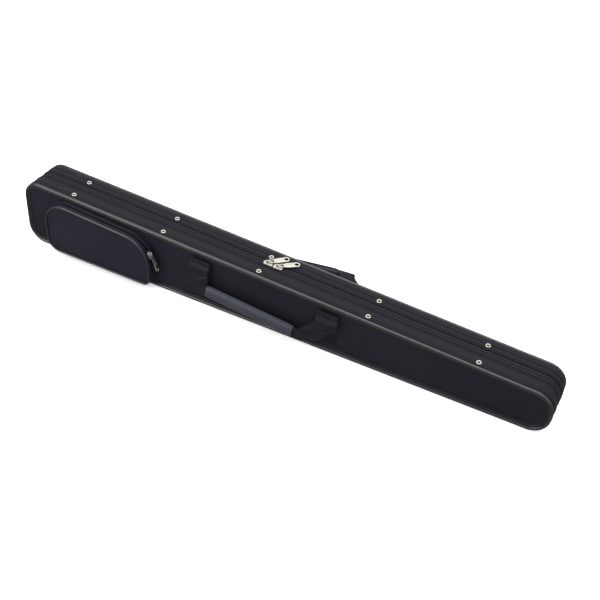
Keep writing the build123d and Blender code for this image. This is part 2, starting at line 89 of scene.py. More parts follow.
def make_camera():
    """The photograph's view: a long lens, from the front right and above, with a slight roll."""
    data = bpy.data.cameras.new("camera")
    data.sensor_width = SENSOR
    data.lens = LENS
    data.clip_start, data.clip_end = 0.05, 20
    cam = bpy.data.objects.new("camera", data)
    turn = Matrix((CAMERA_RIGHT, CAMERA_UP, CAMERA_BACK)).transposed()
    cam.matrix_world = Matrix.Translation(CAMERA_PLACE) @ turn.to_4x4()
    bpy.context.scene.collection.objects.link(cam)
    bpy.context.scene.camera = cam


def area_light(name, place, target, size, power):
    """A soft box that faces its target."""
    data = bpy.data.lights.new(name, "AREA")
    data.shape = "RECTANGLE"
    data.size, data.size_y = size
    data.energy = power
    lamp = bpy.data.objects.new(name, data)
    lamp.location = place
    lamp.rotation_euler = (Vector(target) - Vector(place)).to_track_quat("-Z", "Y").to_euler()
    bpy.context.scene.collection.objects.link(lamp)


def make_stage():
    """White studio: light from above that fades to the horizon, a pale floor, three soft boxes."""
    world = bpy.data.worlds.new("studio")
    bpy.context.scene.world = world
    world.use_nodes = True
    tree = world.node_tree
    background = tree.nodes["Background"]
    background.inputs["Strength"].default_value = WORLD_LIGHT
    ramp = tree.nodes.new("ShaderNodeValToRGB")
    split = tree.nodes.new("ShaderNodeSeparateXYZ")
    place = tree.nodes.new("ShaderNodeTexCoord")
    tree.links.new(place.outputs["Generated"], split.inputs[0])
    tree.links.new(split.outputs[2], ramp.inputs[0])
    tree.links.new(ramp.outputs[0], background.inputs["Color"])
    for stop, (height, level) in zip(ramp.color_ramp.elements, ((0.0, HORIZON), (0.75, 1.0))):
        stop.position = height
        stop.color = (level, level, level, 1)
    area_light("top_box", (0.1, 0.5, 1.8), (0, 0, 0.05), (2.4, 1.2), TOP_LIGHT)
    area_light("front_box", (-1.0, -1.2, 0.7), (-0.2, 0, 0.05), (0.9, 0.9), FRONT_LIGHT)
    area_light("end_box", (1.9, 0.1, 0.7), (0.2, 0, 0.05), (0.8, 1.0), END_LIGHT)
    mesh = bpy.data.meshes.new("floor")
    corners = [(x * FLOOR_HALF, y * FLOOR_HALF, 0) for x, y in ((-1, -1), (1, -1), (1, 1), (-1, 1))]
    mesh.from_pydata(corners, [], [(0, 1, 2, 3)])
    floor = bpy.data.objects.new("floor", mesh)
    floor.location.z = -FLOOR_DROP
    bpy.context.scene.collection.objects.link(floor)
    mat = bpy.data.materials.new("floor")
    mat.use_nodes = True
    shader = mat.node_tree.nodes["Principled BSDF"]
    shader.inputs["Base Color"].default_value = (0.96, 0.96, 0.96, 1)
    shader.inputs["Roughness"].default_value = 0.9
    shader.inputs["Emission Color"].default_value = (1, 1, 1, 1)
    shader.inputs["Emission Strength"].default_value = 0.3
    mesh.materials.append(mat)
    floor.visible_glossy = False
    bpy.context.scene.view_settings.view_transform = "Standard"


# ---- materials ------------------------------------------------------------------------------
COOL = (0.86, 0.87, 1.0, 1)      # tint of the gloss on everything that isn't metal or piping


class Nodes:
    """Short calls for building one material's node tree."""

    def __init__(self, name, color, rough, metal=0.0, sheen=0.0, specular=0.5):
        self.material = bpy.data.materials.new(name)
        self.material.use_nodes = True
        self.tree = self.material.node_tree
        self.shader = self.tree.nodes["Principled BSDF"]
        self.color = color
        self.shader.inputs["Base Color"].default_value = (*color, 1)
        self.shader.inputs["Roughness"].default_value = rough
        self.shader.inputs["Metallic"].default_value = metal
        self.shader.inputs["Sheen Weight"].default_value = sheen
        self.shader.inputs["Sheen Roughness"].default_value = 0.45
        self.shader.inputs["Specular IOR Level"].default_value = specular
        if not metal:
            self.shader.inputs["Specular Tint"].default_value = COOL

    def add(self, kind, **values):
        node = self.tree.nodes.new(kind)
        for key, value in values.items():
            setattr(node, key, value)
        return node

    def link(self, output, target):
        self.tree.links.new(output, target)

    def math(self, operation, a, b=None):
        node = self.add("ShaderNodeMath", operation=operation)
        for socket, value in zip(node.inputs, (a, b)):
            if value is None:
                continue
            if isinstance(value, (int, float)):
                socket.default_value = value
            else:
                self.link(value, socket)
        return node.outputs[0]

    def mix(self, a, share, b):
        """A share of a and the rest of b."""
        return self.math("ADD", self.math("MULTIPLY", a, share), self.math("MULTIPLY", b, 1 - share))

    def cloth(self):
        """The piece's own cloth coordinates, in millimetres: along, across."""
        node = self.add("ShaderNodeAttribute", attribute_name="cloth")
        split = self.add("ShaderNodeSeparateXYZ")
        self.link(node.outputs["Vector"], split.inputs[0])
        return node.outputs["Vector"], split.outputs[0], split.outputs[1]

    def place(self):
        return self.add("ShaderNodeTexCoord").outputs["Object"]

    def noise(self, vector, scale, detail=3.0, rough=0.55):
        node = self.add("ShaderNodeTexNoise")
        node.inputs["Scale"].default_value = scale
        node.inputs["Detail"].default_value = detail
        node.inputs["Roughness"].default_value = rough
        self.link(vector, node.inputs["Vector"])
        return node.outputs["Fac"]

    def wave(self, value, pitch):
        """|sin| with one crest per pitch."""
        return self.math("ABSOLUTE", self.math("SINE", self.math("MULTIPLY", value, math.pi / pitch)))

    def shade(self, factor, low, high):
        """Base colour that goes from low to high times the material's colour with factor."""
        ramp = self.add("ShaderNodeValToRGB")
        for stop, level in zip(ramp.color_ramp.elements, (low, high)):
            stop.color = (*(min(1.0, c * level) for c in self.color), 1)
        self.link(factor, ramp.inputs[0])
        self.link(ramp.outputs[0], self.shader.inputs["Base Color"])

    def rough(self, factor, low, high):
        node = self.add("ShaderNodeMapRange")
        node.inputs["To Min"].default_value = low
        node.inputs["To Max"].default_value = high
        self.link(factor, node.inputs["Value"])
        self.link(node.outputs[0], self.shader.inputs["Roughness"])

    def bump(self, *layers):
        """Bump from (height, depth in millimetres) layers, one over the other."""
        below = None
        for height, depth in layers:
            node = self.add("ShaderNodeBump")
            node.inputs["Distance"].default_value = depth * MM
            self.link(height, node.inputs["Height"])
            if below is not None:
                self.link(below, node.inputs["Normal"])
            below = node.outputs["Normal"]
        self.link(below, self.shader.inputs["Normal"])


def woven(name, color, pitch, rough=0.55, specular=0.08, depth=0.12, creases=0.5, rib=0.0):
    """Plain-weave nylon: fine checks of yarn, patches of tone from the same noise as its soft creases, and
    ribs along it if asked; the colour darkens in the gaps between yarns and ribs, as painted shade.
    """
    n = Nodes(name, color, rough, sheen=0.01, specular=specular)
    vector, u, v = n.cloth()
    yarn = n.math("MULTIPLY", n.wave(u, pitch), n.wave(v, pitch))
    patches = n.noise(n.place(), 14.0)
    fibre = n.noise(vector, 1.7, 2.0)
    mixed = n.mix(yarn, 0.45, patches)
    layers = [(patches, creases), (n.noise(n.place(), 55.0, 2.0), creases * 0.35), (yarn, depth)]
    if rib:
        cords = n.wave(v, rib)
        mixed = n.mix(mixed, 0.55, cords)
        layers.insert(2, (cords, 0.16))
    # painted shade: the colour follows the yarn's and ribs' heights, darker in their gaps; the patches'
    # share of tone rises and falls with the creases' noise
    n.shade(mixed, 0.5, 1.45)
    n.rough(fibre, rough - 0.08, rough + 0.1)
    n.bump(*layers)
    return n.material


def ribbed(name, color, pitch, rough=0.6, depth=0.22, cross=1.1, specular=0.07):
    """Webbing or zip tape: ribs along the strap with a finer cross weave, the colour darker in the grooves
    between them as painted shade.
    """
    n = Nodes(name, color, rough, sheen=0.01, specular=specular)
    _, u, v = n.cloth()
    ribs = n.wave(v, pitch)
    picks = n.wave(n.math("ADD", u, n.math("MULTIPLY", v, 0.6)), cross)
    both = n.mix(ribs, 0.65, picks)
    # painted shade: the colour follows the ribs' and picks' heights, darker in the grooves
    n.shade(both, 0.45, 1.4)
    n.bump((n.noise(n.place(), 30.0), 0.3), (both, depth))
    return n.material


def leatherette(name, color, rough=0.42, specular=0.3):
    """Fine-grained coated fabric with worn, glossier high spots."""
    n = Nodes(name, color, rough, specular=specular)
    cells = n.add("ShaderNodeTexVoronoi", feature="DISTANCE_TO_EDGE")
    cells.inputs["Scale"].default_value = 900.0
    n.link(n.place(), cells.inputs["Vector"])
    grain = n.math("MINIMUM", n.math("MULTIPLY", cells.outputs["Distance"], 6.0), 1.0)
    wear = n.noise(n.place(), 38.0, 4.0)
    n.shade(n.mix(grain, 0.4, wear), 0.7, 1.3)
    n.rough(wear, rough - 0.1, rough + 0.14)
    n.bump((wear, 0.35), (grain, 0.06))
    return n.material


def piping_skin(name, color, rough=0.38, specular=0.6):
    """Shiny bias-cut skin of the piping, with slight ripples along it."""
    n = Nodes(name, color, rough, specular=specular)
    n.shader.inputs["Specular Tint"].default_value = (1, 1, 1, 1)
    vector, u, v = n.cloth()
    ripple = n.noise(vector, 0.16, 3.0)
    threads = n.wave(n.math("ADD", u, v), 0.7)
    n.shade(threads, 0.8, 1.2)
    n.rough(ripple, rough - 0.06, rough + 0.12)
    n.bump((ripple, 0.3), (threads, 0.012))
    return n.material


def nickel(name, color=(0.43, 0.412, 0.37), rough=0.34):
    """Polished nickel plate with fine scratches and dull spots."""
    n = Nodes(name, color, rough, metal=1.0)
    spots = n.noise(n.place(), 420.0, 4.0)
    scratch = n.noise(n.place(), 2600.0, 1.0)
    n.shade(spots, 0.82, 1.12)
    n.rough(spots, rough - 0.06, rough + 0.14)
    n.bump((scratch, 0.006))
    return n.material


def plastic(name, color, rough=0.35):
    """Moulded or drawn nylon, as in a zip's coil."""
    n = Nodes(name, color, rough, specular=0.12)
    spots = n.noise(n.place(), 260.0, 3.0)
    n.shade(spots, 0.8, 1.2)
    n.rough(spots, rough - 0.06, rough + 0.1)
    return n.material


def fibreboard(name, color):
    """Pressed board: flecks and a rough skin."""
    n = Nodes(name, color, 0.85)
    flecks = n.noise(n.place(), 700.0, 4.0, 0.7)
    n.shade(flecks, 0.6, 1.35)
    n.bump((flecks, 0.12))
    return n.material


def plush(name, color, pile=0.35):
    """Short-pile lining over foam: soft sheen and a mottled nap."""
    n = Nodes(name, color, 0.9, sheen=0.12, specular=0.05)
    nap = n.noise(n.place(), 60.0, 4.0, 0.7)
    tufts = n.noise(n.place(), 1500.0, 2.0)
    n.shade(nap, 0.6, 1.5)
    n.bump((nap, 0.6), (tufts, pile))
    return n.material


NYLON = woven("nylon", (0.0080, 0.0076, 0.0124), 0.9, specular=0.10)
BAND = woven("band_nylon", (0.0066, 0.0064, 0.0092), 0.9, rough=0.46, specular=0.11, rib=1.75)
POCKET_NYLON = woven("pocket_nylon", (0.0095, 0.0090, 0.0155), 0.8, specular=0.11, creases=0.8)
WEBBING = ribbed("webbing", (0.0060, 0.0060, 0.0084), 1.5, rough=0.46, specular=0.13)
TAPE = ribbed("zip_tape", (0.0078, 0.0077, 0.0108), 1.2, depth=0.1, cross=0.9, specular=0.12)
PIPING = piping_skin("piping", (0.0080, 0.0080, 0.0100), rough=0.3, specular=0.55)
FLANGE = piping_skin("flange", (0.0064, 0.0064, 0.0086), rough=0.42, specular=0.3)
GRIP = leatherette("leatherette", (0.0210, 0.0222, 0.0300), specular=0.38)
METAL = nickel("nickel")
COIL = plastic("coil", (0.0030, 0.0030, 0.0036))
THREAD = ribbed("thread", (0.0085, 0.0085, 0.0105), 0.3, depth=0.05, cross=0.4)
GRIP_THREAD = ribbed("grip_thread", (0.060, 0.060, 0.068), 0.3, depth=0.05, cross=0.4)
BOARD_SKIN = fibreboard("fibreboard", (0.055, 0.040, 0.026))
LINING = plush("plush", (0.012, 0.012, 0.0150))


# ---- meshes ---------------------------------------------------------------------------------
def piece(name, verts, faces, body, mat, stands_for=(), cloth=None, sharp=40.0):
    """A mesh piece in millimetres, in the row frame, that rides on one body."""
    mesh = bpy.data.meshes.new(name)
    mesh.from_pydata([(x * MM, y * MM, z * MM) for x, y, z in verts], [], faces)
    work = bmesh.new()
    work.from_mesh(mesh)
    bmesh.ops.recalc_face_normals(work, faces=work.faces)
    work.to_mesh(mesh)
    work.free()
    mesh.shade_smooth()
    mesh.set_sharp_from_angle(angle=math.radians(sharp))
    layer = mesh.attributes.new("cloth", "FLOAT_VECTOR", "POINT")
    flat = cloth if cloth is not None else [(x + y, z - y) for x, y, z in verts]
    layer.data.foreach_set("vector", np.array([(u, v, 0) for u, v in flat], np.float32).ravel())
    mesh.materials.append(mat)
    obj = bpy.data.objects.new(name, mesh)
    bpy.context.scene.collection.objects.link(obj)
    if body:
        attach(obj, body)
    if stands_for:
        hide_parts(*stands_for)
    return obj


def grid_faces(rows, cols, wrap_rows=False, wrap_cols=False, start=0):
    """Quads over a rows by cols lattice of vertices."""
    faces = []
    for i in range(rows if wrap_rows else rows - 1):
        for j in range(cols if wrap_cols else cols - 1):
            i2, j2 = (i + 1) % rows, (j + 1) % cols
            faces.append(tuple(start + k for k in (i * cols + j, i2 * cols + j,
                                                   i2 * cols + j2, i * cols + j2)))
    return faces


def slab_faces(rows, cols):
    """Faces of a closed slab: an outer lattice, then an inner one, joined round their edges."""
    count = rows * cols
    faces = grid_faces(rows, cols) + grid_faces(rows, cols, start=count)
    rim = list(range(cols)) + [i * cols + cols - 1 for i in range(1, rows)]
    rim += [(rows - 1) * cols + j for j in range(cols - 2, -1, -1)]
    rim += [i * cols for i in range(rows - 2, 0, -1)]
    for a, b in zip(rim, rim[1:] + rim[:1]):
        faces.append((a, b, b + count, a + count))
    return faces


def outline_stations(corners, radii, step, arc_steps):
    """Walks a rounded polygon in the XZ plane, counter-clockwise from its first corner.

    Each station is (x, z, outward x, outward z, distance), so a point at any inset follows.
    """
    stations, travelled = [], 0.0
    count = len(corners)

    def put(x, z, ox, oz):
        nonlocal travelled
        if stations:
            travelled += math.hypot(x - stations[-1][0], z - stations[-1][1])
        stations.append((x, z, ox, oz, travelled))

    def arc_of(k):
        here = Vector(corners[k])
        to_last = (Vector(corners[k - 1]) - here).normalized()
        to_next = (Vector(corners[(k + 1) % count]) - here).normalized()
        half = to_last.angle(to_next) / 2
        centre = here + (to_last + to_next).normalized() * radii[k] / math.sin(half)
        start = math.atan2(to_last.x, -to_last.y)
        return centre, start, math.pi - 2 * half

    for k in range(count):
        centre, start, sweep = arc_of(k)
        for i in range(arc_steps + 1):
            angle = start + sweep * i / arc_steps
            ox, oz = math.cos(angle), math.sin(angle)
            put(centre.x + ox * radii[k], centre.y + oz * radii[k], ox, oz)
        x0, z0, ox, oz, _ = stations[-1]
        next_centre, next_start, _ = arc_of((k + 1) % count)
        x1 = next_centre.x + math.cos(next_start) * radii[(k + 1) % count]
        z1 = next_centre.y + math.sin(next_start) * radii[(k + 1) % count]
        pieces = max(1, round(math.hypot(x1 - x0, z1 - z0) / step))
        for i in range(1, pieces):
            put(x0 + (x1 - x0) * i / pieces, z0 + (z1 - z0) * i / pieces, ox, oz)
    return stations


HALF = LENGTH / 2
CASE = [(-HALF, 0), (HALF, 0), (HALF, HEIGHT_TIP), (-HALF, HEIGHT_BUTT)]
case_stations = outline_stations(CASE, [CORNER_R] * 4, 6.0, 14)


def above(stations, z):
    """The run of stations above a height, in order from the right end over to the left."""
    split = next(i for i, s in enumerate(stations) if s[1] > z >= stations[i - 1][1])
    turned = stations[split:] + stations[:split]
    return [s for s in turned if s[1] > z]


def swept(stations, profile, side, closed=True, ripple=0.0, seed=0):
    """Vertices, faces and cloth coordinates of a profile of (inset, y) swept round stations."""
    verts, cloth = [], []
    lengths = [0.0]
    for a, b in zip(profile, profile[1:]):
        lengths.append(lengths[-1] + math.dist(a, b))
    for x, z, ox, oz, s in stations:
        for (inset, y), across in zip(profile, lengths):
            soft = ripple * noise.noise(Vector((s / 17.0, across / 9.0, seed + side * 5.0)))
            verts.append((x - ox * (inset + soft), side * y, max(0.0, z - oz * (inset + soft))))
            cloth.append((s, across))
    faces = grid_faces(len(stations), len(profile), wrap_rows=closed, wrap_cols=True)
    if not closed:
        last = (len(stations) - 1) * len(profile)
        faces.append(tuple(range(len(profile))))
        faces.append(tuple(last + k for k in range(len(profile))))
    return verts, faces, cloth


def strip(name, stations, profile, side, body, slot, mat, nodes=(), **way):
    """A piece of a profile swept round stations; way is what swept() takes."""
    verts, faces, cloth = swept(stations, profile, side, **way)
    return piece(name, verts, faces, body, mat, nodes, cloth)


def circle_profile(inset, y, radius, steps=20):
    """A round section for swept()."""
    turns = [2 * math.pi * k / steps for k in range(steps)]
    return [(inset + radius * math.cos(a), y + radius * math.sin(a)) for a in turns]


CAPSULE = [(-0.5, 0, 0)] + [
    (x, r * math.cos(a), r * math.sin(a))
    for x, r in ((-0.32, 0.9), (0.0, 1.0), (0.32, 0.9))
    for a in (0.3, 1.56, 2.81, 4.07, 5.33)
] + [(0.5, 0, 0)]
CAPSULE_FACES = (
    [(0, 1 + (k + 1) % 5, 1 + k) for k in range(5)]
    + [(1 + 5 * r + k, 1 + 5 * r + (k + 1) % 5, 6 + 5 * r + (k + 1) % 5, 6 + 5 * r + k)
       for r in range(2) for k in range(5)]
    + [(16, 11 + k, 11 + (k + 1) % 5) for k in range(5)]
)


def stitches(name, route, body, pitch=3.4, length=2.5, radius=0.33, closed=False,
             thread=THREAD):
    """A row of thread stitches along a route of (point, normal) pairs, in millimetres."""
    points = [Vector(p) for p, _ in route] + ([Vector(route[0][0])] if closed else [])
    normals = [Vector(q) for _, q in route] + ([Vector(route[0][1])] if closed else [])
    verts, faces = [], []
    done, next_at = 0.0, pitch / 2
    for a, b, normal in zip(points, points[1:], normals):
        run = (b - a).length
        if run < 1e-6:
            continue
        along = (b - a) / run
        across = normal.cross(along).normalized()
        up = along.cross(across)
        while next_at <= done + run:
            centre = a + along * (next_at - done)
            start = len(verts)
            for x, y, z in CAPSULE:
                verts.append(centre + along * x * length + across * y * radius + up * z * radius * 0.8)
            faces += [tuple(start + k for k in f) for f in CAPSULE_FACES]
            next_at += pitch
        done += run
    return piece(name, verts, faces, body, thread, sharp=180)


def ring_route(stations, inset, y, side):
    """A stitch route round the outline on a face, whose normal is the side's direction."""
    return [((x - ox * inset, side * y, z - oz * inset), (0, side, 0)) for x, z, ox, oz, _ in stations]


def band_route(stations, inset, y, side):
    """A stitch route round the side wall, whose normal is the outline's."""
    return [((x - ox * inset, side * y, z - oz * inset), (ox, 0, oz)) for x, z, ox, oz, _ in stations]


def column_heights(corners, radii, inset, x):
    """The lowest and highest z of a rounded outline, moved in by inset, at x."""
    (xl, zl), (xr, _), (_, ztr), (_, ztl) = corners
    left, right, low = xl + inset, xr - inset, zl + inset
    slope = (ztr - ztl) / (xr - xl)
    slant = math.hypot(1, slope)

    def sag(distance, radius):
        r = radius - inset
        return 0.0 if distance >= r else r - math.sqrt(max(0.0, r * r - (r - distance) ** 2))

    bottom = low + max(sag(x - left, radii[0]), sag(right - x, radii[1]))
    top = ztl + slope * (x - xl) - inset * slant
    top -= max(sag(x - left, radii[3]), sag(right - x, radii[2]))
    return bottom, max(top, bottom + 0.01)


def panel_grid(corners, radii, inset, columns, rows, ends=7):
    """A lattice of (x, z) over a rounded outline, finer towards its two ends."""
    left, right = corners[0][0] + inset, corners[1][0] - inset
    width = right - left
    ticks = []
    for i in range(columns):
        t = i / (columns - 1)
        eased = t - math.sin(2 * math.pi * t) / (2 * math.pi) * (ends / 10)
        ticks.append(left + width * eased)
    lattice = []
    for x in ticks:
        low, high = column_heights(corners, radii, inset, x)
        lattice.append([(x, low + (high - low) * j / (rows - 1)) for j in range(rows)])
    return lattice


def edge_distance(corners, inset, x, z):
    """Rough distance from a point to the outline's straight sides."""
    (xl, zl), (xr, _), (_, ztr), (_, ztl) = corners
    top = ztl + (ztr - ztl) * (x - xl) / (xr - xl)
    return max(0.0, min(x - xl - inset, xr - inset - x, z - zl - inset, top - inset - z))


def slab(name, lattice, outer_y, inner_y, body, mat, nodes=()):
    """A closed sheet over a lattice of (x, z), between the surfaces outer_y(x, z) and inner_y(x, z)."""
    points = [point for line in lattice for point in line]
    verts = [(x, y_of(x, z), z) for y_of in (outer_y, inner_y) for x, z in points]
    faces = slab_faces(len(lattice), len(lattice[0]))
    return piece(name, verts, faces, body, mat, nodes, points * 2)


def panel_piece(name, corners, radii, inset, size, y_of, thick, side, body, mat, nodes=()):
    """A closed sheet over an outline: y_of(x, z) is its outer surface's distance from Y = 0."""
    return slab(name, panel_grid(corners, radii, inset, *size),
                lambda x, z: side * y_of(x, z),
                lambda x, z: side * y_of(x, z) - side * thick, body, mat, nodes)


def shell_panel(side, name, body):
    """The nylon over the padded face: slightly crowned, and drawn in along the trim."""
    def surface(x, z):
        d = edge_distance(CASE, TRIM_IN, x, z)
        crown = 0.9 * (1 - math.exp(-d / 9.0)) - 0.35
        wave = 0.22 * noise.noise(Vector((x / 46.0, side * 3.0, z / 30.0)))
        return PANEL_Y + crown + wave * min(1.0, d / 12.0)
    panel = panel_piece(f"{name}_panel", CASE, [CORNER_R] * 4, TRIM_IN, (170, 26), surface, 3.2,
                        side, body, NYLON, [f"{name}_cover_panel", f"{name}_face_padding"])


def shell_band(side, name, body):
    """The nylon round the side wall, with the seams that run along it."""
    profile = [(1.62, RIM_Y + 0.55), (0.8, RIM_Y + 0.6), (0.0, RIM_Y + 1.1), (-0.4, RIM_Y + 1.9)]
    profile += [(-0.4, RIM_Y + 3.0), (0.35, RIM_Y + 3.5), (0.35, RIM_Y + 3.8), (-0.2, RIM_Y + 4.3),
                (-0.2, 15.4)]
    if side == REAR:
        profile += [(-0.05, 16.6), (0.42, 17.0), (0.42, 17.3), (-0.3, 17.7), (-0.42, 19.2)]
        profile += [(-0.42, 23.0), (-0.25, 25.4)]
    else:
        profile += [(-0.12, 20.0), (-0.08, 22.9), (0.3, 23.2), (0.3, 23.5), (-0.3, 23.9), (-0.35, 25.6)]
    profile += [(0.0, 26.8), (0.5, BAND_END_Y), (0.95, BAND_END_Y)]
    band = strip(f"{name}_band", case_stations, profile, side, body, "band", BAND,
                 [f"{name}_cover_band"], ripple=0.16, seed=2)
    row = 19.0 if side == REAR else 25.0
    run = above(case_stations, 3.0)
    stitches(f"{name}_band_stitches", band_route(run, -0.42, row, side), body)
    rim = band_route(run, -0.4, RIM_Y + 2.5, side)
    stitches(f"{name}_rim_stitches", rim, body, pitch=3.0, length=2.2, radius=0.26)


def shell_edge(side, name, body):
    """The piping bead, and the flat stitched trim inside it."""
    bead = circle_profile(BEAD_R, BEAD_Y, BEAD_R)
    strip(f"{name}_bead", case_stations, bead, side, body, "piping", PIPING, [f"{name}_piping"],
          ripple=0.14, seed=9)
    a, b = TRIM_IN, TRIM_IN + TRIM_WIDTH
    y = PANEL_Y
    flat = [(a - 0.5, y - 0.2), (a - 0.4, y + 0.5), (a + 0.2, y + 0.95), (a + 1.0, y + 1.0),
            (a + 1.5, y + 0.74), (a + 1.9, y + 0.74), (a + 2.4, y + 0.95), (b - 0.5, y + 0.9),
            (b - 0.05, y + 0.45), (b, y - 0.2)]
    strip(f"{name}_flange", case_stations, flat, side, body, "piping", FLANGE, [f"{name}_trim"],
          ripple=0.1, seed=4)
    route = ring_route(case_stations, a + 1.7, y + 0.9, side)
    stitches(f"{name}_flange_stitches", route, body, closed=True)


def zip_side(side, name, body):
    """Half of the main zip: the tape, on past the zip's ends to the spine, and the coil under its edge."""
    run = above(case_stations, 2.0)
    tape = [(1.0, 0.55), (0.45, 0.5), (0.22, 0.85), (0.05, 2.4), (0.05, 3.9), (0.3, 4.7), (1.3, 5.2),
            (1.55, 6.0), (1.55, 10.2), (1.78, 10.2), (1.78, 5.6), (0.95, 4.6), (0.72, 1.0)]
    strip(f"{name}_tape", run, tape, side, body, "tape", TAPE, [f"{name}_zip_tape"],
          closed=False, ripple=0.08, seed=6)
    coil(f"{name}_coil", above(case_stations, ZIP_END_Z), side, body, 1.9, 0.36,
         (0.3, 2.9), (1.0, 2.3), [f"{name}_zip_coil"])
    seam = band_route(run, 0.05, 3.6, side)
    stitches(f"{name}_tape_stitches", seam, body, pitch=2.6, length=1.9, radius=0.2)


def coil(name, run, side, body, pitch, radius, y_range, inset_range, nodes, y0=0.0):
    """The coil's loops: each one a bent wire from the tape, round its head, and back."""
    near, far = y_range
    shallow, deep = inset_range
    middle = (shallow + deep) / 2
    bend = [(far, shallow), (near + 0.9, shallow), (near + 0.25, shallow + 0.25), (near, middle),
            (near + 0.25, deep - 0.25), (near + 0.9, deep), (far, deep)]
    verts, faces = [], []
    at = pitch / 2
    for a, b in zip(run, run[1:]):
        passed = a[4] - run[0][4]
        if passed < 0:
            break    # past the outline's first station, where its distances start again
        length = math.hypot(b[0] - a[0], b[1] - a[1])
        while at <= passed + length:
            t = (at - passed) / length
            x, z = a[0] + (b[0] - a[0]) * t, a[1] + (b[1] - a[1]) * t
            out = Vector((a[2] + (b[2] - a[2]) * t, 0, a[3] + (b[3] - a[3]) * t)).normalized()
            along = Vector((-out.z, 0, out.x))
            first = len(verts)
            for k, (y, inset) in enumerate(bend):
                lean = (k / (len(bend) - 1) - 0.5) * pitch * 0.5
                centre = Vector((x, y0 + side * y, z)) - out * inset + along * lean
                for s in range(5):
                    angle = 2 * math.pi * s / 5
                    turn = math.pi * k / (len(bend) - 1)
                    other = (out * math.cos(turn) - Vector((0, side, 0)) * math.sin(turn))
                    verts.append(centre + along * math.cos(angle) * radius
                                 + other * math.sin(angle) * radius)
            faces += grid_faces(len(bend), 5, wrap_cols=True, start=first)
            faces.append(tuple(first + s for s in range(5)))
            faces.append(tuple(first + (len(bend) - 1) * 5 + s for s in range(5)))
            at += pitch
    return piece(name, verts, faces, body, COIL, nodes, sharp=180)


def lathe(profile, steps, place):
    """Vertices and faces of a turned shape: profile is (radius, height), place a 4x4 in mm."""
    verts = []
    for r, h in profile:
        for k in range(steps):
            a = 2 * math.pi * k / steps
            verts.append(place @ Vector((r * math.cos(a), r * math.sin(a), h)))
    faces = grid_faces(len(profile), steps, wrap_cols=True)
    faces.append(tuple(range(steps)))
    faces.append(tuple((len(profile) - 1) * steps + k for k in range(steps)))
    return verts, faces


def frame_at(origin, along, up):
    """A 4x4 whose X runs along, Z points up, in millimetres."""
    side_way = up.cross(along).normalized()
    matrix = Matrix((along, side_way, up)).transposed().to_4x4()
    return Matrix.Translation(origin) @ matrix


RIVET_X = (-325.0, -172.0, -18.0, 147.0, 303.0)
RIVET_Y = {FRONT: 22.2, REAR: 14.4}
RIVET = [(0.2, -3.7), (1.7, -3.6), (1.75, -0.3), (1.85, 0.25), (2.1, 0.7), (2.5, 1.05), (2.95, 1.15),
         (3.4, 1.0), (3.75, 0.6), (3.85, 0.15), (3.7, -0.25), (2.2, -0.3)]
# a near-black disc that sits in each rivet's hollow: painted shade
BORE_SHADE_DISC = [(0.1, -0.45), (1.72, -0.45), (1.72, -1.0), (0.1, -1.0)]


def rivet_row(side, name, body):
    """Hollow rivets with rolled heads, and a near-black disc set down in each one's hollow as painted shade.
    """
    for label, profile, slot, mat, nodes in (
            ("heads", RIVET, "nickel", METAL, [f"{name}_rivets"]),
            # the dark discs in the rivets' hollows are painted shade, not a part of the rivet
            ("bore_shade_discs", BORE_SHADE_DISC, "board", COIL, [])):
        verts, faces = [], []
        for x in RIVET_X:
            place = frame_at(Vector((x, side * RIVET_Y[side], top_z(x))), ALONG, NORMAL)
            v, f = lathe(profile, 36, place)
            faces += [tuple(len(verts) + k for k in face) for face in f]
            verts += v
        piece(f"{name}_rivet_{label}", verts, faces, body, mat, nodes, sharp=50)


# ---- spine ----------------------------------------------------------------------------------
def spine():
    """The nylon along the fold, which on the real case is sewn to both shells and bends as it opens: here
    one flat strip on no body.
    """
    half_x, half_y = HALF - CORNER_R, 16.0
    rows, cols = 90, 33
    outer, inner, cloth = [], [], []
    for i in range(rows):
        x = -half_x + 2 * half_x * i / (rows - 1)
        for j in range(cols):
            y = -half_y + 2 * half_y * j / (cols - 1)
            lift = 0.10 * (noise.noise(Vector((x / 20.0, y / 8.0, 3.0))) + 1)
            outer.append((x, y, 0.02 + lift * min(1.0, (half_y - abs(y)) / 4)))
            inner.append((x, y, 0.8))
            cloth.append((x, y))
    obj = piece("spine_cloth", outer + inner, slab_faces(rows, cols), None, BAND,
                ["front_spine_strip", "rear_spine_strip"], cloth * 2)
    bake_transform(obj)


# ---- lining ---------------------------------------------------------------------------------
# each channel: (centre height, half width) at the left end, then at the right end
CHANNELS = (((30.0, 17.5), (23.0, 11.5)), ((72.0, 13.0), (47.5, 8.0)))
CHANNEL_END_X, CHANNEL_DEPTH, BED_Y = 388.0, 15.1, 0.75
LINING_IN, LINING_BACK_Y = 7.15, 25.2


def channel_depth(x, z):
    """How deep the lining lies below the bed at a point: zero outside both channels."""
    best = 0.0
    for (z0, half0), (z1, half1) in CHANNELS:
        t = (x + CHANNEL_END_X) / (2 * CHANNEL_END_X)
        centre, half = z0 + (z1 - z0) * t, half0 + (half1 - half0) * t
        inside = min(half - abs(z - centre), CHANNEL_END_X - abs(x))
        if inside > 0:
            best = max(best, min(1.0, inside / 2.6))
    return CHANNEL_DEPTH * best * best * (3 - 2 * best)


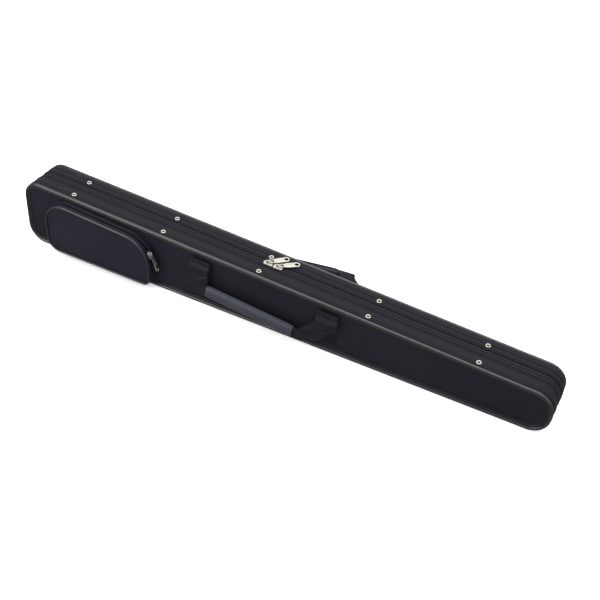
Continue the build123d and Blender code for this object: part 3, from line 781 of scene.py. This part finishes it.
def lining(side, name, body):
    """Plush over the foam bed, pressed into both channels, and the binding round its rim."""
    bed = slab(f"{name}_lining", panel_grid(CASE, [CORNER_R] * 4, LINING_IN, 200, 84),
               lambda x, z: side * (BED_Y + 0.15 + channel_depth(x, z)),
               lambda x, z: side * LINING_BACK_Y, body, LINING,
               [f"{name}_foam_base", f"{name}_foam_rails"])
    rim = [(1.85, 6.35), (2.1, 6.0), (5.6, 5.9), (6.05, 5.2), (6.2, 1.4), (6.7, 0.95), (7.1, 1.2),
           (7.1, 6.3), (6.0, 6.9), (2.4, 6.7)]
    strip(f"{name}_lining_rim", case_stations, rim, side, body, "tape", TAPE, ripple=0.05, seed=12)


def build_shell(side, name):
    body = f"{name}_shell"
    shell_panel(side, name, body)
    shell_band(side, name, body)
    shell_edge(side, name, body)
    zip_side(side, name, body)
    rivet_row(side, name, body)
    lining(side, name, body)


# ---- webbing and handles --------------------------------------------------------------------
PATCH_X = (-104.0, 95.0)
WEB_WIDTH, WEB, PATCH_HEIGHT = 32.0, 1.8, 50.0
FOLD_Y, FOLD_DROP, ROLL_R = 35.2, 13.5, 1.05
GRIP_LONG, GRIP_SHORT = 19.0, 10.0
GRIP_ENDS = {FRONT: ((-90.0, 35.0), (48.0, 21.5)), REAR: ((-67.0, 49.0), (71.0, 67.5))}
GRIP_Y = {FRONT: 41.5, REAR: 50.0}
LEFT_DROP = {FRONT: 45.0, REAR: 32.0}
STRAP_DEPTH = {FRONT: 1.0, REAR: 0.7}    # how far down each left strap's folds lie
HUMP_R, HUMP_RISE = 8.5, 2.0
EDGES = (-16.0, 16.0)


def fold_z(x):
    """Height of the line that the handles' webbing folds over."""
    return top_z(x) - FOLD_DROP


def eased(rows, steps):
    """Rows of points with extra rows between them, on Catmull-Rom curves."""
    out = []
    last = len(rows) - 1
    for k in range(last):
        a, b, c, d = (rows[max(0, min(last, k + n))] for n in (-1, 0, 1, 2))
        for i in range(steps):
            t = i / steps
            weights = (-t + 2 * t * t - t ** 3, 2 - 5 * t * t + 3 * t ** 3,
                       t + 4 * t * t - 3 * t ** 3, -t * t + t ** 3)
            out.append([sum((w * p for w, p in zip(weights, four)), Vector()) / 2
                        for four in zip(a, b, c, d)])
    return out + [rows[-1]]


def ribbon(name, rows, thick, body, mat, nodes, steps=7, across=26,
           crease=None):
    """A strap from control rows of two edge points; crease(s, t) lifts it off its plane, in mm."""
    lines = eased([[Vector(p) for p in row] for row in rows], steps)
    count = len(lines)
    mids = [[a.lerp(b, j / (across - 1)) for j in range(across)] for a, b in lines]
    travelled = [0.0]
    for one, two in zip(mids, mids[1:]):
        travelled.append(travelled[-1] + (two[across // 2] - one[across // 2]).length)
    front, back, cloth = [], [], []
    for i, line in enumerate(mids):
        ahead, behind = mids[min(i + 1, count - 1)], mids[max(i - 1, 0)]
        for j, point in enumerate(line):
            wide = line[min(j + 1, across - 1)] - line[max(j - 1, 0)]
            normal = wide.cross(ahead[j] - behind[j])
            normal = normal.normalized() if normal.length > 1e-6 else Vector((0, 0, 1))
            s, t = j / (across - 1), travelled[i] / travelled[-1]
            lift = crease(s, t) if crease else 0.0
            edge = 1 - max(0.0, abs(2 * s - 1) - 0.9) * 4
            front.append(point + normal * (lift + thick / 2 * edge))
            back.append(point + normal * (lift - thick / 2 * edge))
            cloth.append((travelled[i], s * WEB_WIDTH))
    strap = piece(name, front + back, slab_faces(count, across), body, mat, nodes, cloth * 2)


def step(value, width):
    """A folded layer's edge: 1 before it, 0 past it."""
    t = min(1.0, max(0.0, value / width + 0.5))
    return 1 - t * t * (3 - 2 * t)


def ridge(value, width):
    """A crease's profile: 1 on the line, falling away on both sides."""
    return math.exp(-(value / width) ** 2)


def patches(side, name, body):
    """Both webbing patches, with a stitched border and cross, as one piece and its thread."""
    verts, faces, cloth, seams = [], [], [], []
    rows, cols = 30, 20
    for x in PATCH_X:
        middle = Vector((x, 0, top_z(x) - FOLD_DROP - 2.4 - PATCH_HEIGHT / 2))

        def at(u, v, y):
            p = middle + ALONG * u + NORMAL * v
            return Vector((p.x, side * y, p.z))

        first = len(verts)
        for layer in (0, 1):
            for i in range(rows):
                v = -PATCH_HEIGHT / 2 + (PATCH_HEIGHT + 2.2) * i / (rows - 1)
                for j in range(cols):
                    u = WEB_WIDTH * (j / (cols - 1) - 0.5)
                    rim = min(1.0, (WEB_WIDTH / 2 - abs(u)) / 1.2, (v + PATCH_HEIGHT / 2) / 1.2)
                    wave = 0.35 * noise.noise(Vector((u / 9 + x, v / 9, side)))
                    curl = max(0.0, v - PATCH_HEIGHT / 2 + 1) * 0.25
                    y = PANEL_Y + (0.75 + 0.95 * rim + wave * rim + curl if layer == 0 else 0.1)
                    verts.append(at(u, v, y))
                    cloth.append((v, u))
        faces += [tuple(first + k for k in f) for f in slab_faces(rows, cols)]
        reach, low, high = WEB_WIDTH / 2 - 3.5, -PATCH_HEIGHT / 2 + 3.5, PATCH_HEIGHT / 2 - 16
        box = [(-reach, low), (reach, low), (reach, high), (-reach, high), (-reach, low),
               (reach, high), (reach, low), (-reach, high)]
        seams.append([(at(u, v, PANEL_Y + 1.8), (0, side, 0)) for u, v in box])
    pair = piece(f"{name}_patches", verts, faces, body, WEBBING,
                 [f"{name}_handle_patches"], cloth)
    for seam, label in zip(seams, ("left", "right")):
        stitches(f"{name}_patch_stitches_{label}", seam, body, pitch=2.8, length=2.1)


def roll_rows(x, side, rise=0.0, turn=None):
    """Control rows of the webbing's roll at the fold, from underneath, round the back, to the top."""
    rows = []
    for degrees in (turn or (-80, -130, 180, 130, 80, 35)):
        a = math.radians(degrees)
        dy, dz = ROLL_R * math.cos(a), ROLL_R * math.sin(a)
        rows.append([(x + e, side * (FOLD_Y + dy), fold_z(x + e) + rise + dz) for e in EDGES])
    return rows


def hung(side, x, z):
    """A point of the hanging webbing's plane, which leans out towards the grip."""
    lean = (GRIP_Y[side] - FOLD_Y) / LEFT_DROP[side]
    return (x, side * (FOLD_Y + ROLL_R * 0.6 + max(0.0, fold_z(x) - z) * lean), z)


def straps(side, name, body):
    """Both straps: over the fold, down, and turned in to the ends of the grip."""
    (x0, z0), (x1, z1) = GRIP_ENDS[side]
    la, lb, ra, rb = (x + e for x in PATCH_X for e in EDGES)
    front = side == FRONT
    deep = STRAP_DEPTH[side]

    def hang(*pairs):
        return [[hung(side, *a), hung(side, *b)] for a, b in pairs]

    rows = roll_rows(PATCH_X[0], side) + hang(
        ((la, fold_z(la) - 5), (lb, fold_z(lb) - 5)),
        ((la, fold_z(la) - 18 * deep), (lb, fold_z(lb) - 13 * deep)),
        ((la + 0.5, z0 + 11), (lb - 0.5, fold_z(lb) - 21 * deep)),
        ((la + 5, z0 + 1), (lb - 1.5, z0 + 13)),
        ((la + 13, z0 - 6), (x0 - 4.5, z0 + 9)),
        ((x0 - 9, z0 - 7.5), (x0 - 2.5, z0 + 8)),
        ((x0 + 3, z0 - 7), (x0 + 3, z0 + 7)))

    def left_crease(s, t):
        layer = 2.8 * step(t - 0.50 - 0.06 * s, 0.018) * min(1.0, max(0.0, t - 0.14) / 0.1)
        slack = 1.3 * ridge(t - 0.64 + 0.16 * s, 0.05) - 0.8 * ridge(t - 0.36 - 0.1 * s, 0.07)
        return side * (layer + slack) * (1 if front else 0.5)

    ribbon(f"{name}_strap_left", rows, WEB, body, WEBBING, [f"{name}_handle_strap_left"],
           crease=left_crease)
    if front:
        rows = roll_rows(PATCH_X[1], side) + hang(
            ((ra, fold_z(ra) - 5), (rb, fold_z(rb) - 5)),
            ((ra - 1, fold_z(ra) - 14), (rb, fold_z(rb) - 12)),
            ((ra - 8, fold_z(ra) - 24), (rb - 1, fold_z(rb) - 20)),
            ((ra - 18, z1 + 15), (rb - 11, z1 + 18)),
            ((x1 + 7, z1 + 9), (rb - 26, z1 + 1)),
            ((x1 + 2, z1 + 8), (x1 + 17, z1 - 6)),
            ((x1 - 3, z1 + 7), (x1 - 3, z1 - 7)))
    else:
        y_out = FOLD_Y + 2 * HUMP_R
        rows = roll_rows(PATCH_X[1], side, 0.0, (-80, -130, 180))
        for degrees in (180, 150, 120, 90, 60, 30, 0):
            a = math.radians(degrees)
            y = FOLD_Y + HUMP_R + HUMP_R * math.cos(a)
            z = HUMP_RISE + HUMP_R * math.sin(a)
            pulled = 11.0 * min(1.0, (180 - degrees) / 90) ** 1.8
            lift = 1 + 0.35 * min(1.0, max(0.0, 120 - degrees) / 60)
            rows.append([(x - pulled * w, y, fold_z(x) + z * up) for x, w, up in
                         ((ra, 0.71, 1.0), (rb, 1.5, lift))])
        rows += [[(ra - 8, y_out, fold_z(ra) - 1), (rb - 15, y_out, fold_z(rb) + 1)],
                 [(x1 + 1, y_out - 0.8, z1 + 6), (rb - 19, y_out - 0.5, z1 - 5)],
                 [(x1 - 3, y_out - 2.2, z1 + 5.5), (x1 + 8, y_out - 2, z1 - 7)],
                 [(x1 - 4, y_out - 2.2, z1 + 5), (x1 - 4, y_out - 2.2, z1 - 6.5)]]

    def right_crease(s, t):
        if not front:
            return side * 0.5 * ridge(t - 0.8, 0.06)
        layer = 2.8 * step(t - 0.64 + 0.44 * s, 0.018) * min(1.0, max(0.0, t - 0.12) / 0.08)
        return side * (layer - 1.2 * ridge(t - 0.80 + 0.2 * s, 0.06))

    ribbon(f"{name}_strap_right", rows, WEB, body, WEBBING, [f"{name}_handle_strap_right"],
           crease=right_crease)


def grip(side, name, body):
    """A stuffed leatherette sleeve with a flat stitched seam along its top."""
    (x0, z0), (x1, z1) = GRIP_ENDS[side]
    start, end = Vector((x0, side * GRIP_Y[side], z0)), Vector((x1, side * GRIP_Y[side], z1))
    along = (end - start).normalized()
    up = Vector((-along.z, 0, along.x))
    long, short = GRIP_LONG / 2, GRIP_SHORT / 2
    section = []
    for k in range(33):
        a = math.radians(100 + 340 * k / 32)
        section.append((short * math.cos(a), long * math.sin(a)))
    section += [(1.05, long + 0.6), (1.0, long + 1.6), (0.5, long + 2.0), (-0.5, long + 2.0),
                (-1.0, long + 1.6), (-1.05, long + 0.6)]
    rings = [(1.5, 0.62), (0.6, 0.78), (0.0, 0.93), (0.5, 1.0)]
    length = (end - start).length
    stops = rings + [(length * i / 60, 1.0) for i in range(1, 60)]
    stops += [(length - s, scale) for s, scale in reversed(rings)]
    verts, cloth = [], []
    for s, scale in stops:
        for k, (y, z) in enumerate(section):
            wrinkle = noise.noise(Vector((s / 7.0, y / 5.0, z / 6.0 + side)))
            swell = 1 + 0.035 * noise.noise(Vector((s / 24.0, k / 9.0, side))) + 0.03 * wrinkle
            end_pinch = 1 - 0.07 * (ridge(s, 5) + ridge(length - s, 5))
            size = scale * swell * end_pinch
            verts.append(start + along * s + Vector((0, side * y * size, 0)) + up * z * scale * end_pinch)
            cloth.append((s, k))
    n = len(section)
    faces = grid_faces(len(stops), n, wrap_cols=True)
    faces += [tuple(range(n)), tuple((len(stops) - 1) * n + k for k in range(n))]
    sleeve = piece(f"{name}_grip", verts, faces, body, GRIP,
                   [f"{name}_handle_grip", f"{name}_handle_filler"], cloth, sharp=60)
    for row, where in ((1, "out"), (-1, "in")):
        side_of = Vector((0, side * row * 0.98, 0))
        seam = [(start + along * s + up * (long + 0.9) + side_of, (0, side * row, 0))
                for s in (3.0, length / 2, length - 3.0)]
        stitches(f"{name}_grip_stitches_{where}", seam, body, 3.2, 2.3, 0.32,
                 thread=GRIP_THREAD)


def build_handle(side, name):
    patches(side, name, f"{name}_shell")
    straps(side, name, f"{name}_handle")
    grip(side, name, f"{name}_handle")


# ---- pocket ---------------------------------------------------------------------------------
POCKET_LEFT, POCKET_RIGHT, POCKET_BOTTOM, POCKET_TOP = -362.0, -181.0, 9.0, 97.3
POCKET_SLOPE = -0.075
POCKET = [(POCKET_LEFT, POCKET_BOTTOM), (POCKET_RIGHT, POCKET_BOTTOM),
          (POCKET_RIGHT, POCKET_TOP + POCKET_SLOPE * (POCKET_RIGHT - POCKET_LEFT)),
          (POCKET_LEFT, POCKET_TOP)]
POCKET_RADII = [22.0, 12.0, 44.0, 36.0]
POCKET_FACE_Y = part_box("pocket_piping")[0][1] / -MM
POCKET_ZIP_Y = 40.5
POCKET_ZIP_END_Z = 30.0
POCKET_BEAD_R = 1.6
pocket_stations = outline_stations(POCKET, POCKET_RADII, 3.0, 16)


def pocket_sheets():
    """The pocket's back, sewn to the panel, and its softly puffed face."""
    inside = TRIM_IN + TRIM_WIDTH + 0.2
    lattice = [[(x, min(max(z, inside), top_z(x, inside))) for x, z in line]
               for line in panel_grid(POCKET, POCKET_RADII, -5.4, 60, 30)]
    back = slab("pocket_back_sheet", lattice,
                lambda x, z: -(PANEL_Y + 0.95 + 0.25 * noise.noise(Vector((x / 12, z / 12, 8)))),
                lambda x, z: -(PANEL_Y - 0.5), "front_shell", POCKET_NYLON,
                ["pocket_back"])

    def puffed(x, z):
        d = edge_distance(POCKET, 3.0, x, z)
        crown = 1.9 * (1 - math.exp(-d / 15.0)) - 0.7
        soft = 0.9 * noise.noise(Vector((x / 55, z / 38, 5)))
        soft += 0.25 * noise.noise(Vector((x / 19, z / 15, 1)))
        pucker = 0.18 * math.sin((x + z) * 1.1) * math.exp(-d / 3.5)
        return POCKET_FACE_Y - 1.5 + crown + soft * min(1.0, d / 16) + pucker
    face = panel_piece("pocket_face_sheet", POCKET, POCKET_RADII, 2.6, (96, 48), puffed, 1.0, FRONT,
                       "pocket_flap", POCKET_NYLON, ["pocket_face"])


def pocket_walls():
    """Gussets, piping, and the gore that on the real pocket lets the flap open; here the gore is fixed, on
    no body.
    """
    inner = [(0.15, PANEL_Y + 0.6), (-0.35, PANEL_Y + 2.0), (-0.2, PANEL_Y + 4.0), (0.15, 36.6), (0.5, 37.0),
             (0.15, 37.4), (0.3, 39.0), (0.65, 39.3), (1.2, 39.2), (1.3, 37.0), (1.1, PANEL_Y + 0.6)]
    strip("pocket_wall_inner", pocket_stations, inner, FRONT, "front_shell", "pocket_nylon",
          POCKET_NYLON, ["pocket_gusset_inner"], ripple=0.45, seed=31)
    outer = [(0.3, 42.0), (0.15, 43.6), (0.5, 44.0), (0.15, 44.4), (-0.2, 45.6), (0.1, 46.9), (0.9, 47.4),
             (1.2, 46.9), (1.25, 44.0), (1.1, 41.8), (0.65, 41.7)]
    strip("pocket_wall_outer", pocket_stations, outer, FRONT, "pocket_flap", "pocket_nylon",
          POCKET_NYLON, ["pocket_gusset_outer"], ripple=0.3, seed=37)
    cord = circle_profile(POCKET_BEAD_R, POCKET_FACE_Y - POCKET_BEAD_R, POCKET_BEAD_R, 16)
    strip("pocket_bead", pocket_stations, cord, FRONT, "pocket_flap", "piping", PIPING,
          ["pocket_piping"], ripple=0.12, seed=41)
    low = POCKET_ZIP_END_Z + 1.5
    split = next(i for i, s in enumerate(pocket_stations) if s[1] < low <= pocket_stations[i - 1][1])
    run = [s for s in pocket_stations[split:] + pocket_stations[:split] if s[1] < low]
    web = [(0.45, 38.6), (0.75, 39.6), (0.9, 40.5), (0.75, 41.4), (0.45, 42.4), (1.05, 42.5), (1.5, 40.5),
           (1.05, 38.5)]
    gore = strip("pocket_gore", run, web, FRONT, None, "pocket_nylon", POCKET_NYLON,
                 ["pocket_fold"], closed=False)
    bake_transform(gore)


def pocket_zip():
    """The pocket's coils over the top and down both sides."""
    run = above(pocket_stations, POCKET_ZIP_END_Z)
    for label, side, body in (("inner", REAR, "front_shell"), ("outer", FRONT, "pocket_flap")):
        coil(f"pocket_coil_{label}", run, side, body, 1.7, 0.33, (0.32, 2.0), (0.5, 1.7),
             [f"pocket_zip_coil_{label}"], y0=-POCKET_ZIP_Y)


# ---- sliders and pulls ----------------------------------------------------------------------
def flat_shape(outlines, thick, bevel):
    """Verts and faces of a bevelled plate in its own plane; outlines after the first are holes."""
    curve = bpy.data.curves.new("outline", "CURVE")
    curve.dimensions = "2D"
    curve.fill_mode = "BOTH"
    curve.extrude = thick / 2 - bevel
    curve.bevel_depth = bevel
    curve.bevel_resolution = 3
    curve.offset = -bevel
    for outline in outlines:
        spline = curve.splines.new("POLY")
        spline.points.add(len(outline) - 1)
        for point, (x, y) in zip(spline.points, outline):
            point.co = (x, y, 0, 1)
        spline.use_cyclic_u = True
    holder = bpy.data.objects.new("outline", curve)
    mesh = bpy.data.meshes.new_from_object(holder)
    verts = [v.co.copy() for v in mesh.vertices]
    faces = [tuple(p.vertices) for p in mesh.polygons]
    bpy.data.objects.remove(holder)
    bpy.data.curves.remove(curve)
    bpy.data.meshes.remove(mesh)
    return verts, faces


def rounded(x0, x1, half, radii, steps=10):
    """A rounded rectangle from x0 to x1: the radii are of its x0 end and its x1 end."""
    a, b = radii
    corners = [(x1 - b, half - b, 0, b), (x0 + a, half - a, 90, a), (x0 + a, a - half, 180, a),
               (x1 - b, b - half, 270, b)]
    points = []
    for cx, cy, first, r in corners:
        for i in range(steps + 1):
            t = math.radians(first + 90 * i / steps)
            points.append((cx + r * math.cos(t), cy + r * math.sin(t)))
    return points


def merged(parts, place):
    """One mesh of several (verts, faces, offset z), put in place."""
    verts, faces = [], []
    for part_verts, part_faces, rise in parts:
        first = len(verts)
        verts += [place @ (v + Vector((0, 0, rise))) for v in part_verts]
        faces += [tuple(first + k for k in f) for f in part_faces]
    return verts, faces


def arch(points, half_width, half_height):
    """A strap of metal bent along (x, z) points."""
    verts = []
    count = len(points)
    for i, (x, z) in enumerate(points):
        ax, az = points[min(i + 1, count - 1)]
        bx, bz = points[max(i - 1, 0)]
        along = Vector((ax - bx, 0, az - bz)).normalized()
        out = Vector((-along.z, 0, along.x))
        for k in range(12):
            a = 2 * math.pi * (k + 0.5) / 12
            y, h = math.cos(a), math.sin(a)
            verts.append(Vector((x, 0, z)) + Vector((0, math.copysign(abs(y) ** 0.5, y) * half_width, 0))
                         + out * math.copysign(abs(h) ** 0.5, h) * half_height)
    faces = grid_faces(count, 12, wrap_cols=True)
    return verts, faces + [tuple(range(12)), tuple((count - 1) * 12 + k for k in range(12))]


def slider(name, place, length, width, body, node):
    """A cast slider: a stepped top plate, side ribs, the crown over the pull's bar, a lower plate."""
    half, wide = length / 2, 0.88 * width / 2
    nose = rounded(-half, half, wide, (3.8, 2.0))
    upper = rounded(-half + 1.3, half - 1.3, wide - 1.6, (2.4, 1.4))
    top = flat_shape([nose], 1.25, 0.35)
    raised = flat_shape([upper], 0.9, 0.3)
    lower = flat_shape([rounded(-half + 0.5, half - 0.5, wide - 0.5, (3.0, 1.8))], 1.1, 0.3)
    bow = [(3.4 * math.cos(math.pi * k / 16), 1.2 + 3.6 * math.sin(math.pi * k / 16) ** 0.8)
           for k in range(17)]
    post = flat_shape([rounded(half - 4.6, half - 2.0, 0.2, (0.1, 0.1))], 3.6, 0.05)
    parts = [(*top, 0.72), (*raised, 1.5), (*lower, -3.45), (*post, -1.3), (*arch(bow, 1.1, 0.5), 0)]
    for y in (-1, 1):
        rib = flat_shape([[(x, yy + y * (wide - 0.75)) for x, yy in rounded(-half + 2.6, half - 2.2, 0.5,
                                                                           (0.45, 0.45))]], 1.2, 0.25)
        parts.append((*rib, 1.35))
    verts, faces = merged(parts, place)
    piece(name, verts, faces, body, METAL, [node], sharp=42)


def pull(name, place, body, node, half=4.8, length=31.0, eye=2.75, window=7.6):
    """A flat tab: a bar in the crown, an open root, a neck that widens, and a round tip with an eye."""
    neck = half * 0.72
    tip = [(length - half + half * math.cos(a), half * math.sin(a))
           for a in (math.pi * (k / 20 - 0.5) for k in range(21))]
    swell = [(window + 5.5 * k / 8, neck + (half - neck) * (1 - math.cos(math.pi * k / 8)) / 2)
             for k in range(9)]
    upper = rounded(-0.8, 4.0, neck, (1.4, 0.1), 6)
    root_end = [p for p in upper if p[0] < 2.0]
    outline = tip + swell[::-1] + root_end + [(x, -y) for x, y in swell]
    root = rounded(1.0, window, neck - 1.15, (0.6, 1.6), 6)
    hole = [(length - half + eye * math.cos(a), eye * math.sin(a))
            for a in (2 * math.pi * k / 40 for k in range(40))]
    parts = [(*flat_shape([outline, root[::-1], hole[::-1]], 1.6, 0.45), 0.0)]
    if half > 4:
        edge = rounded(window + 4, length - half - eye - 1.4, half - 1.9, (1.0, 1.0), 6)
        field = flat_shape([edge], 0.5, 0.2)
        parts += [(*field, 0.72), (*field, -0.72)]
    verts, faces = merged(parts, place)
    piece(name, verts, faces, body, METAL, [node], sharp=42)


PULL_RISE = 2.6
SLIDER_X = (-15.2, 0.3)
PULL_YAW = (46.0, 40.0)
POCKET_SLIDER_ANGLE = math.radians(24.0)


def zip_hardware():
    """The main zip's two sliders, and the pocket's one, each with its pull."""
    for label, x, yaw, way in zip(("left", "right"), SLIDER_X, PULL_YAW, (1, -1)):
        origin = Vector((x, 0, top_z(x)))
        slider(f"{label}_slider_body", frame_at(origin, ALONG * way, NORMAL), 14.0, 11.0,
               f"{label}_slider", f"{label}_slider")
        turn = math.radians(yaw)
        along = ALONG * math.cos(turn) + Vector((0, 1, 0)) * math.sin(turn)
        place = frame_at(origin + NORMAL * PULL_RISE, along, NORMAL)
        pull(f"{label}_pull_tab", place, f"{label}_pull", f"{label}_pull")
    radius = POCKET_RADII[2]
    arc_x = POCKET_RIGHT - radius
    arc_z = (POCKET_TOP + POCKET_SLOPE * (arc_x - POCKET_LEFT) - radius * math.hypot(1, POCKET_SLOPE))
    out = Vector((math.cos(POCKET_SLIDER_ANGLE), 0, math.sin(POCKET_SLIDER_ANGLE)))
    down = Vector((out.z, 0, -out.x))
    origin = Vector((arc_x, -POCKET_ZIP_Y, arc_z)) + out * (radius + 0.5)
    slider("pocket_slider_body", frame_at(origin, down, out), 11.0, 9.6, "pocket_slider", "pocket_slider")
    place = frame_at(origin + out * PULL_RISE, down, out)
    pull("pocket_pull_tab", place, "pocket_pull", "pocket_pull", 3.3, 28.0, 1.5, 17.0)


# ---- carried-over CAD nodes -----------------------------------------------------------------
def paint_node(name, mat):
    """Gives a kept CAD node its procedural material."""
    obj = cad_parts[name]
    obj.data.materials.clear()
    obj.data.materials.append(mat)


def paint_nodes():
    for name in ("front", "rear"):
        paint_node(f"{name}_frame", BOARD_SKIN)
        paint_node(f"{name}_face_board", BOARD_SKIN)
        paint_node(f"{name}_rivet_washers", METAL)


make_camera()
make_stage()
build_shell(REAR, "rear")
build_shell(FRONT, "front")
spine()
build_handle(FRONT, "front")
build_handle(REAR, "rear")
pocket_sheets()
pocket_walls()
pocket_zip()
zip_hardware()
paint_nodes()
